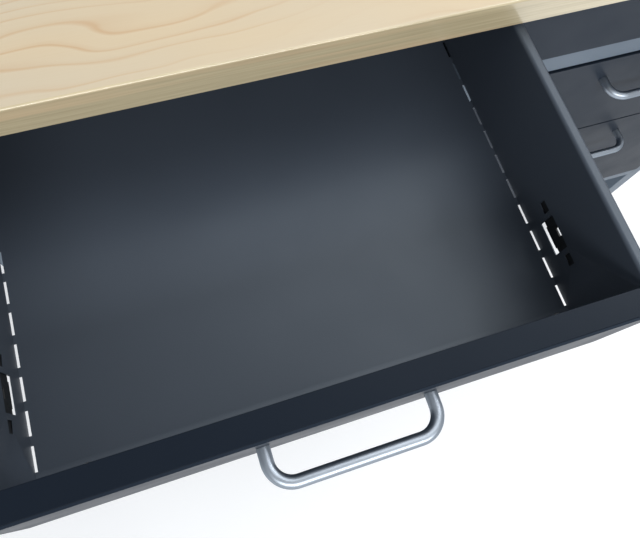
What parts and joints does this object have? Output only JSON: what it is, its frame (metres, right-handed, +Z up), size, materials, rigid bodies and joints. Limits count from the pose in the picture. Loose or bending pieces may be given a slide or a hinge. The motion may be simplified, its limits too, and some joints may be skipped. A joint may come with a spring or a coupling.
{
  "type": "workbench with drawers",
  "caption": "Workbench with a maple-look top on steel leg frames and two columns of pull-out drawers with bar handles, the left top drawer part open.",
  "frame": {"origin": "on the floor, at the centre of the rectangle that the bench covers with its left top drawer pulled out", "axes": "+X along the bench to the right, +Y to the back, +Z up; drawers open towards -Y"},
  "size_m": [1.2, 0.896, 0.85],
  "materials": {
    "maple_board": "satin lacquered laminate with maple grain",
    "edge_band": "satin edge band with straight grain",
    "cabinet_paint": "semi-gloss powder coat",
    "tray_paint": "semi-gloss powder coat",
    "front_paint": "semi-gloss powder coat",
    "liner_paint": "semi-gloss powder coat",
    "satin_handle": "satin brushed",
    "zinc_steel": "zinc plated",
    "zinc_fastener": "zinc plated",
    "black_plastic": "moulded",
    "black_rubber": "moulded"
  },
  "bodies": {
    "bench": {"bench_top": "maple_board", "edge_bands": "edge_band", "left_side_panel": "cabinet_paint", "right_side_panel": "cabinet_paint", "centre_divider": "cabinet_paint", "back_panel": "cabinet_paint", "bottom_panel": "cabinet_paint", "front_rails": "cabinet_paint", "outer_runners": "zinc_steel", "leg_frames": "cabinet_paint", "levelling_feet": "black_rubber", "frame_fasteners": "zinc_fastener"},
    "left_top_drawer": {"left_top_tray": "tray_paint", "left_top_front_panel": "front_paint", "left_top_front_liner": "liner_paint", "left_top_handle": "satin_handle", "left_top_screws": "zinc_fastener", "left_top_clips": "black_plastic", "left_top_inner_runners": "zinc_steel"},
    "left_top_sliders": {"left_top_middle_runners": "zinc_steel"},
    "left_middle_drawer": {"left_middle_tray": "tray_paint", "left_middle_front_panel": "front_paint", "left_middle_front_liner": "liner_paint", "left_middle_handle": "satin_handle", "left_middle_screws": "zinc_fastener", "left_middle_clips": "black_plastic", "left_middle_inner_runners": "zinc_steel"},
    "left_middle_sliders": {"left_middle_middle_runners": "zinc_steel"},
    "left_bottom_drawer": {"left_bottom_tray": "tray_paint", "left_bottom_front_panel": "front_paint", "left_bottom_front_liner": "liner_paint", "left_bottom_handle": "satin_handle", "left_bottom_screws": "zinc_fastener", "left_bottom_clips": "black_plastic", "left_bottom_inner_runners": "zinc_steel"},
    "left_bottom_sliders": {"left_bottom_middle_runners": "zinc_steel"},
    "right_top_drawer": {"right_top_tray": "tray_paint", "right_top_front_panel": "front_paint", "right_top_front_liner": "liner_paint", "right_top_handle": "satin_handle", "right_top_screws": "zinc_fastener", "right_top_clips": "black_plastic", "right_top_inner_runners": "zinc_steel"},
    "right_top_sliders": {"right_top_middle_runners": "zinc_steel"},
    "right_middle_drawer": {"right_middle_tray": "tray_paint", "right_middle_front_panel": "front_paint", "right_middle_front_liner": "liner_paint", "right_middle_handle": "satin_handle", "right_middle_screws": "zinc_fastener", "right_middle_clips": "black_plastic", "right_middle_inner_runners": "zinc_steel"},
    "right_middle_sliders": {"right_middle_middle_runners": "zinc_steel"},
    "right_bottom_drawer": {"right_bottom_tray": "tray_paint", "right_bottom_front_panel": "front_paint", "right_bottom_front_liner": "liner_paint", "right_bottom_handle": "satin_handle", "right_bottom_screws": "zinc_fastener", "right_bottom_clips": "black_plastic", "right_bottom_inner_runners": "zinc_steel"},
    "right_bottom_sliders": {"right_bottom_middle_runners": "zinc_steel"}
  },
  "joints": [
    {"name": "left_top_slide", "type": "slide", "parent": "bench", "child": "left_top_drawer", "axis": [0, -1, 0], "range_m": [-0.295, 0.205]},
    {"name": "left_top_slider_travel", "type": "slide", "parent": "bench", "child": "left_top_sliders", "axis": [0, -1, 0], "range_m": [-0.1475, 0.1025]},
    {"name": "left_middle_slide", "type": "slide", "parent": "bench", "child": "left_middle_drawer", "axis": [0, -1, 0], "range_m": [0, 0.5]},
    {"name": "left_middle_slider_travel", "type": "slide", "parent": "bench", "child": "left_middle_sliders", "axis": [0, -1, 0], "range_m": [0, 0.25]},
    {"name": "left_bottom_slide", "type": "slide", "parent": "bench", "child": "left_bottom_drawer", "axis": [0, -1, 0], "range_m": [0, 0.5]},
    {"name": "left_bottom_slider_travel", "type": "slide", "parent": "bench", "child": "left_bottom_sliders", "axis": [0, -1, 0], "range_m": [0, 0.25]},
    {"name": "right_top_slide", "type": "slide", "parent": "bench", "child": "right_top_drawer", "axis": [0, -1, 0], "range_m": [0, 0.5]},
    {"name": "right_top_slider_travel", "type": "slide", "parent": "bench", "child": "right_top_sliders", "axis": [0, -1, 0], "range_m": [0, 0.25]},
    {"name": "right_middle_slide", "type": "slide", "parent": "bench", "child": "right_middle_drawer", "axis": [0, -1, 0], "range_m": [0, 0.5]},
    {"name": "right_middle_slider_travel", "type": "slide", "parent": "bench", "child": "right_middle_sliders", "axis": [0, -1, 0], "range_m": [0, 0.25]},
    {"name": "right_bottom_slide", "type": "slide", "parent": "bench", "child": "right_bottom_drawer", "axis": [0, -1, 0], "range_m": [0, 0.5]},
    {"name": "right_bottom_slider_travel", "type": "slide", "parent": "bench", "child": "right_bottom_sliders", "axis": [0, -1, 0], "range_m": [0, 0.25]}
  ],
  "couplings": [
    {"joint": "left_top_slider_travel", "follows": "left_top_slide", "ratio": 0.5},
    {"joint": "left_middle_slider_travel", "follows": "left_middle_slide", "ratio": 0.5},
    {"joint": "left_bottom_slider_travel", "follows": "left_bottom_slide", "ratio": 0.5},
    {"joint": "right_top_slider_travel", "follows": "right_top_slide", "ratio": 0.5},
    {"joint": "right_middle_slider_travel", "follows": "right_middle_slide", "ratio": 0.5},
    {"joint": "right_bottom_slider_travel", "follows": "right_bottom_slide", "ratio": 0.5}
  ]
}
